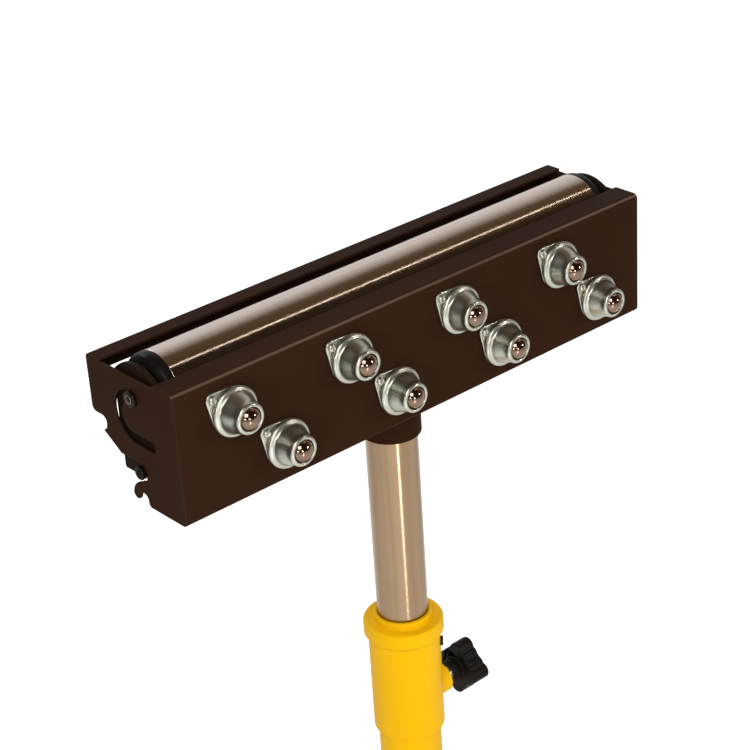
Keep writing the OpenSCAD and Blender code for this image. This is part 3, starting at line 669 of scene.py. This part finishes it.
# %% [markdown]
# ## Roller caps
# Each end of the roller is closed by a moulded cap. Its outer edge is rounded far back towards
# the tube, so that a board that meets the roller's end rides up it, and a fine ridge runs round
# its face. It is spun from its outline like the housings, about an axis out of the head.
# %% Roller end caps
CAP_OUT, CAP_PLUG, CAP_ROUND = 8, 14, 4
RIDGE_R, RIDGE_W, FACE_DROP = 18.4, 0.7, 1.2
SEAT_R, SEAT_DEPTH, WEB_R = 16.05, 9, 13.5
TUBE_WALL = 2.05
ROLLER_R = (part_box("roller_tube")[1][2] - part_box("roller_tube")[0][2]) / 2 / MM
PLUG_R = ROLLER_R - TUBE_WALL
cap = turned((
    (WEB_R, -CAP_PLUG, 0), (PLUG_R, -CAP_PLUG, 0.6), (PLUG_R, 0, 0), (ROLLER_R, 0, 0.2),
    (ROLLER_R, CAP_OUT - RIDGE_W, CAP_ROUND), (RIDGE_R, CAP_OUT, 0.2),
    (RIDGE_R - RIDGE_W, CAP_OUT, 0.2), (RIDGE_R - RIDGE_W, CAP_OUT - FACE_DROP, 0.1),
    (SEAT_R, CAP_OUT - FACE_DROP, 0.2), (SEAT_R, CAP_OUT - SEAT_DEPTH, 0),
    (WEB_R, CAP_OUT - SEAT_DEPTH, 0), (WEB_R, -CAP_PLUG, 0)), 96)
axle_y, axle_z = centre_of("roller_tube")
for side, name in ((-1, "left"), (1, "right")):
    half = bmesh.new()
    tube_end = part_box("roller_tube")[side > 0][0]
    place = Matrix.Translation((tube_end, axle_y, axle_z))
    stamp(cap, half, place @ Matrix.Rotation(side * math.pi / 2, 4, "Y"))
    piece_from(half, "moulded_cap_" + name, "black_plastic", body_of["roller_cap_" + name],
               "roller_cap_" + name)
print("cap faces:", len(cap.faces))

# %% [markdown]
# ## The studio
# The photograph has a plain white ground, and a few small, bright sources that show as points on
# the balls. A broad lamp above is the main light and the world fills in. The camera sees white
# all round. Polished steel mirrors the white ground, a white backdrop behind the stand, and a
# dark room everywhere else. Light Path tells these rays apart, so none of it floods the object.
# %% Floor and world
FLOOR_REACH = 12
floor_mesh = bmesh.new()
bmesh.ops.create_grid(floor_mesh, x_segments=1, y_segments=1, size=FLOOR_REACH)
floor_data = bpy.data.meshes.new("floor")
floor_mesh.to_mesh(floor_data)
floor_mesh.free()
floor = bpy.data.objects.new("floor", floor_data)
bpy.context.scene.collection.objects.link(floor)


def sight_rays(place):
    """Two masks: 1 for the camera's rays, and 1 for the rays of mirrors and glass."""
    rays = place.node("ShaderNodeLightPath").socket.node.outputs
    camera, glossy, glass = (Strand(place.tree, rays["Is " + kind + " Ray"])
                             for kind in ("Camera", "Glossy", "Transmission"))
    return camera, glossy + glass


floor_finish, floor_shader, floor_place = new_finish("floor_paper")
floor_shader.inputs["Roughness"].default_value = 0.9
floor_shader.inputs["Specular IOR Level"].default_value = 0
feed(floor_shader, "Base Color", between(floor_place, specks(floor_place, 6, 2),
                                         (0.80, 0.80, 0.80), (0.82, 0.82, 0.82)))
seen, mirrored = sight_rays(floor_place)
feed(floor_shader, "Emission Color", between(floor_place, seen * 0.6 + mirrored * 0.15,
                                             (0, 0, 0), (1, 1, 1)))
floor_shader.inputs["Emission Strength"].default_value = 1
floor_data.materials.append(floor_finish)

world = bpy.data.worlds.new("studio_world")
world.use_nodes = True
bpy.context.scene.world = world
sky = world.node_tree
direction = Strand(sky, sky.nodes.new("ShaderNodeTexCoord").outputs["Generated"])
BACKDROP = (0.65, 0.76, 0)
behind = direction.node("ShaderNodeVectorMath", {"operation": "DOT_PRODUCT"},
                        {0: direction, 1: BACKDROP}, out=1)
room = ramp(direction, behind, (0.05, (0.03, 0.016, 0.007)), (0.2, (0.12, 0.075, 0.035)),
            (0.5, (0.15, 0.10, 0.055)), (0.86, (1, 1, 1)))
seen, mirrored = sight_rays(direction)
plain = between(direction, seen, (0.5, 0.5, 0.5), (1, 1, 1))
background = sky.nodes["Background"]
sky.links.new(blended(direction, mirrored, plain, room).socket, background.inputs["Color"])
print("world nodes:", len(sky.nodes))

# %% [markdown]
# ## Lamps
# The three small lamps stand where the highlights on the balls point to. A direction and a
# height above level place each one on a circle round the head. Two narrow strips draw the fine
# bright lines along the roller and down the post, and a lamp behind lights the stand's back.
# %% Lamps
HEAD = Vector((0, 0, 0.78))


def lamp(name, place, size, power, colour=(1, 1, 1), aim=HEAD):
    """A rectangular lamp at a place, turned to shine at the head or at another point."""
    data = bpy.data.lights.new(name, "AREA")
    data.shape = "RECTANGLE"
    data.size, data.size_y = size
    data.energy = power
    data.color = colour
    made = bpy.data.objects.new(name, data)
    made.location = place
    made.rotation_euler = (aim - Vector(place)).to_track_quat("-Z", "Y").to_euler()
    bpy.context.scene.collection.objects.link(made)


def round_head(compass, above, out):
    """A place that far from the head, at angles in degrees from +X and above level."""
    flat, up = math.radians(compass), math.radians(above)
    return HEAD + out * Vector((math.cos(flat) * math.cos(up), math.sin(flat) * math.cos(up),
                                math.sin(up)))


WARM, FAR = (1, 0.95, 0.88), 2.2
lamp("broad_lamp", (-1.5, -1.6, 2.6), (1.2, 1.2), 34, (1, 0.97, 0.93))
lamp("left_point", round_head(-147, 7, FAR), (0.16, 0.16), 7, WARM)
lamp("front_point", round_head(-108, 6, FAR), (0.16, 0.16), 7, WARM)
lamp("right_point", round_head(-50, 15, FAR), (0.2, 0.2), 8, WARM)
lamp("post_strip", (-0.31, -0.99, 0.24), (0.11, 0.44), 1.1, (0.95, 0.98, 1))
lamp("roller_strip", HEAD + Vector((1.32, -0.61, 1.68)), (1.6, 0.03), 1.3, (1, 0.93, 0.85),
     HEAD + Vector((1.32, 0, 0)))
lamp("back_lamp", (-0.4, 1.9, 1.9), (1.4, 0.5), 12)
